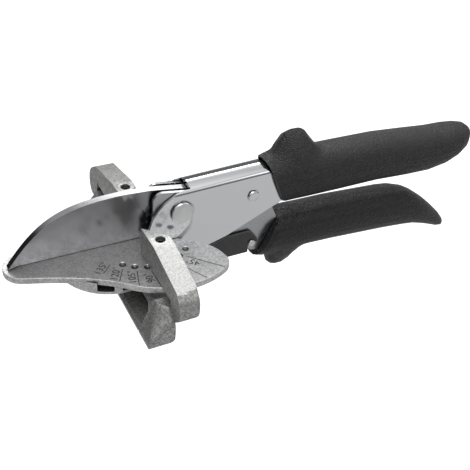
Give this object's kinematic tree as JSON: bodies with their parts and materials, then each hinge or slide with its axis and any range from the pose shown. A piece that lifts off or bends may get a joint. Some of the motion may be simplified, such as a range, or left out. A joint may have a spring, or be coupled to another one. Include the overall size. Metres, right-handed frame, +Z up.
{
  "type": "mitre shears",
  "caption": "One-hand mitre shears: a sprung lever closes a straight blade on a flat anvil table, with a two-armed fence that swivels to set the angle of the cut.",
  "frame": {"origin": "on the fence's swivel axis at the flat lower end of its screw, 20.5 mm under the anvil table's top face", "axes": "+X from the table's nose to the grips, +Y across the tool, +Z up out of the table"},
  "size_m": [0.2538, 0.1174, 0.0859],
  "materials": {
    "chrome": "polished plating",
    "satin": "satin",
    "blade": "ground",
    "cast": "cast, blasted",
    "bright": "bright",
    "spring": "oiled spring steel",
    "grip": "finely grained",
    "catch": "smooth moulded"
  },
  "bodies": {
    "anvil_frame": {"upper_channel": "chrome", "upper_grip": "grip", "anvil_table": "cast", "anvil_rivet_front": "bright", "anvil_rivet_rear": "bright", "pivot_stud": "chrome", "pivot_cap": "chrome", "spring_rivet": "chrome", "return_spring": "spring", "fence_screw": "bright", "fence_washer": "bright"},
    "blade_lever": {"lower_channel": "satin", "lower_grip": "grip", "blade": "blade", "blade_rivet_upper": "bright", "blade_rivet_lower": "bright", "pivot_bush": "bright", "pivot_washer_near": "bright", "pivot_washer_far": "bright", "catch_pin": "bright"},
    "fence": {"fence_carriage": "cast", "detent_screw_front": "spring", "detent_screw_rear": "spring", "detent_spring_front": "spring", "detent_spring_rear": "spring", "detent_ball_front": "spring", "detent_ball_rear": "spring"},
    "catch": {"catch_lever": "catch"}
  },
  "joints": [
    {"name": "shears_open", "type": "hinge", "parent": "anvil_frame", "child": "blade_lever", "pos_m": [0.017, 0, 0.035], "axis": [0, 1, 0], "range_deg": [0, 28]},
    {"name": "fence_swivel", "type": "hinge", "parent": "anvil_frame", "child": "fence", "pos_m": [0, 0, 0.0205], "axis": [0, 0, 1], "range_deg": [-45, 45]},
    {"name": "catch_swing", "type": "hinge", "parent": "blade_lever", "child": "catch", "pos_m": [0.056, 0, 0.0056], "axis": [0, -1, 0], "range_deg": [0, 35]}
  ]
}
